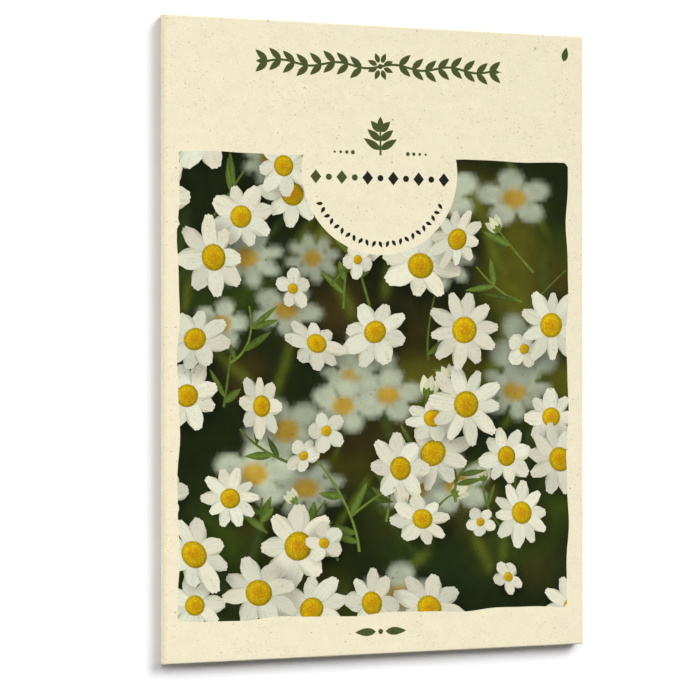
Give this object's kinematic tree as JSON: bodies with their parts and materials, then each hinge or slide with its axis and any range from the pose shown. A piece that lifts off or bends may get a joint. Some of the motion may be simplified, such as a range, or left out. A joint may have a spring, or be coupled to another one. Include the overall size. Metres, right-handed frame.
{
  "type": "paper seed packet",
  "caption": "Flat paper seed packet with a lapped back, a glued foot, a closing flap that folds open on two creases, and a sachet of seed inside.",
  "frame": {"origin": "middle of the rectangle that the packet covers on the table, at the table's height", "axes": "+X along the width, to the right when the front is read; +Y from the packet's foot to its top; +Z out of the printed front"},
  "size_m": [0.105, 0.148, 0.0035],
  "materials": {
    "printed_paper": "uncoated, printed",
    "plain_paper": "uncoated, speckled",
    "dried_glue": "satin",
    "adhesive_tape": "satin",
    "sachet_paper": "glazed",
    "seed_husk": "matt"
  },
  "bodies": {
    "packet": {"front_panel": "printed_paper", "left_side_wall": "plain_paper", "right_side_wall": "plain_paper", "bottom_wall": "plain_paper", "back_panel_inner": "plain_paper", "back_panel_outer": "plain_paper", "back_seam_glue": "dried_glue", "bottom_flap": "plain_paper", "bottom_flap_glue": "dried_glue", "sachet_back_film": "sachet_paper", "sachet_front_film": "sachet_paper", "seeds": "seed_husk"},
    "closure_wall": {"top_wall": "plain_paper"},
    "closure_flap": {"top_flap": "plain_paper", "flap_adhesive_strip": "adhesive_tape"}
  },
  "joints": [
    {"name": "top_crease", "type": "hinge", "parent": "packet", "child": "closure_wall", "pos_m": [0, 0.07387, 0.00337], "axis": [1, 0, 0], "range_deg": [0, 90]},
    {"name": "flap_crease", "type": "hinge", "parent": "closure_wall", "child": "closure_flap", "pos_m": [0, 0.07387, 0.00013], "axis": [1, 0, 0], "range_deg": [0, 90]}
  ],
  "couplings": [
    {"joint": "flap_crease", "follows": "top_crease", "ratio": 1}
  ]
}
